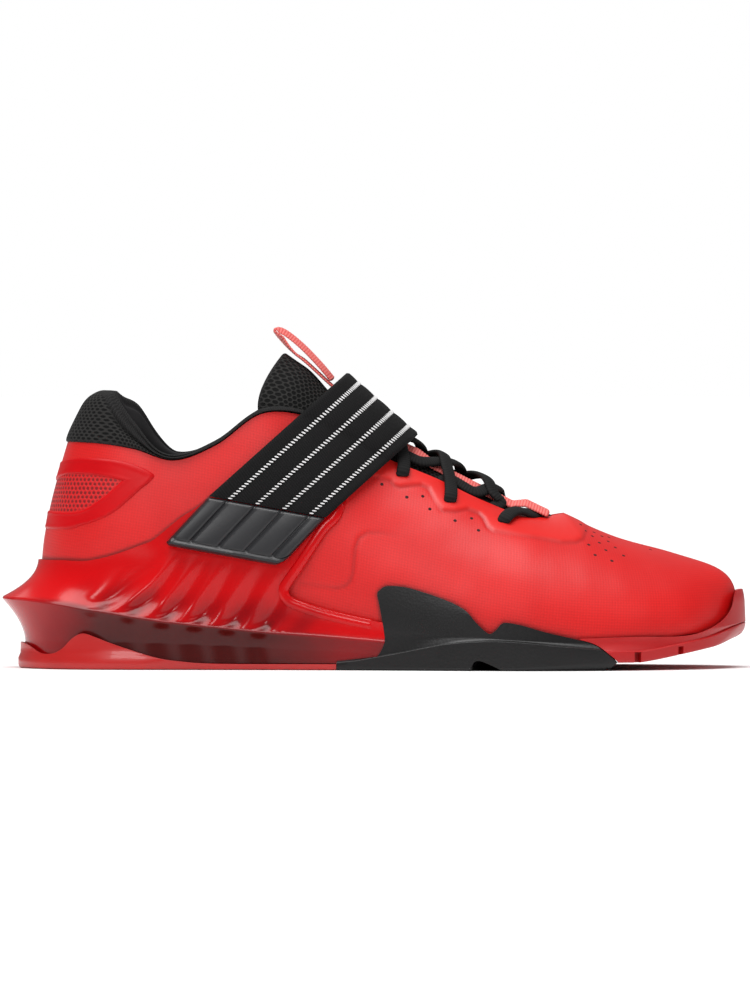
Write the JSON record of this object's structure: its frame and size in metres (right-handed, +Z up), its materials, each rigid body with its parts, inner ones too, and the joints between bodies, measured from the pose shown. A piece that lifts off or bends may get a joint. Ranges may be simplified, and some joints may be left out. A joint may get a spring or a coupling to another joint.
{
  "type": "weightlifting shoe",
  "caption": "Low weightlifting shoe for the right foot with a raised moulded heel clip and fin, a laced tongue with a pull loop, and one elastic strap over the instep.",
  "frame": {"origin": "on the ground under the middle of the shoe", "axes": "+X from the heel to the toe, +Y to the medial side, +Z up; the sole's flat spots lie on Z = 0"},
  "size_m": [0.3056, 0.1107, 0.1398],
  "materials": {
    "upper": "thin woven synthetic with a light sheen",
    "counter": "stiff film, satin",
    "lining": "padded mesh",
    "tongue": "padded mesh",
    "webbing": "ribbed webbing",
    "insole": "matte cloth over foam",
    "clip": "moulded plastic, satin gloss",
    "red_rubber": "smooth rubber",
    "black_rubber": "matte rubber",
    "strap": "woven elastic",
    "tab": "matte moulded rubber",
    "lace": "ribbed flat cord"
  },
  "bodies": {
    "root": {"upper": "upper", "heel_counter": "counter", "collar": "lining", "tongue": "tongue", "tongue_webbing": "webbing", "pull_loop": "webbing", "insole": "insole", "midsole": "clip", "heel_outsole": "red_rubber", "forefoot_outsole": "black_rubber", "toe_outsole": "red_rubber", "strap": "strap", "strap_tab": "tab", "lace_bar": "lace", "lace_cross_1": "lace", "lace_cross_2": "lace", "lace_cross_3": "lace"}
  },
  "joints": []
}
